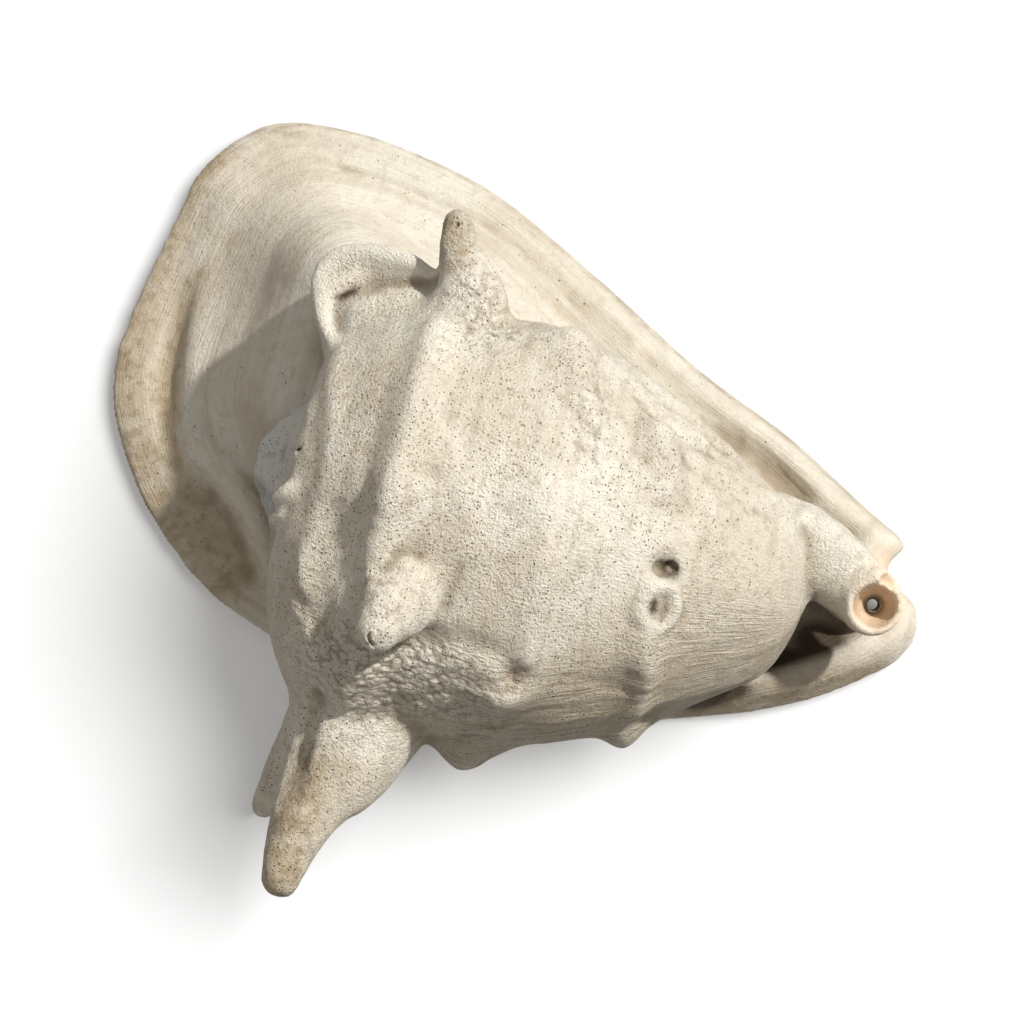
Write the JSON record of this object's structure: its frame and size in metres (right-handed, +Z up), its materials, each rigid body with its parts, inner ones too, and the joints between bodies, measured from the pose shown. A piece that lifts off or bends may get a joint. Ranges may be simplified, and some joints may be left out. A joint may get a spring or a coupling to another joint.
{
  "type": "conch shell",
  "caption": "Large bleached helmet conch shell with a hollow coiled whorl, shoulder horns, a broad flat shield and a spout-like canal, lying on its mouth side.",
  "frame": {"origin": "middle of the shell's footprint box, on the surface that it lies on", "axes": "+X along the coil from the spire to the siphonal canal, +Y towards the broad shield, +Z up through the knobbed back"},
  "size_m": [0.2846, 0.273, 0.1345],
  "materials": {
    "bleached_shell": "bleached chalky shell, pitted and weathered"
  },
  "bodies": {
    "root": {"conch_shell": "bleached_shell"}
  },
  "joints": []
}
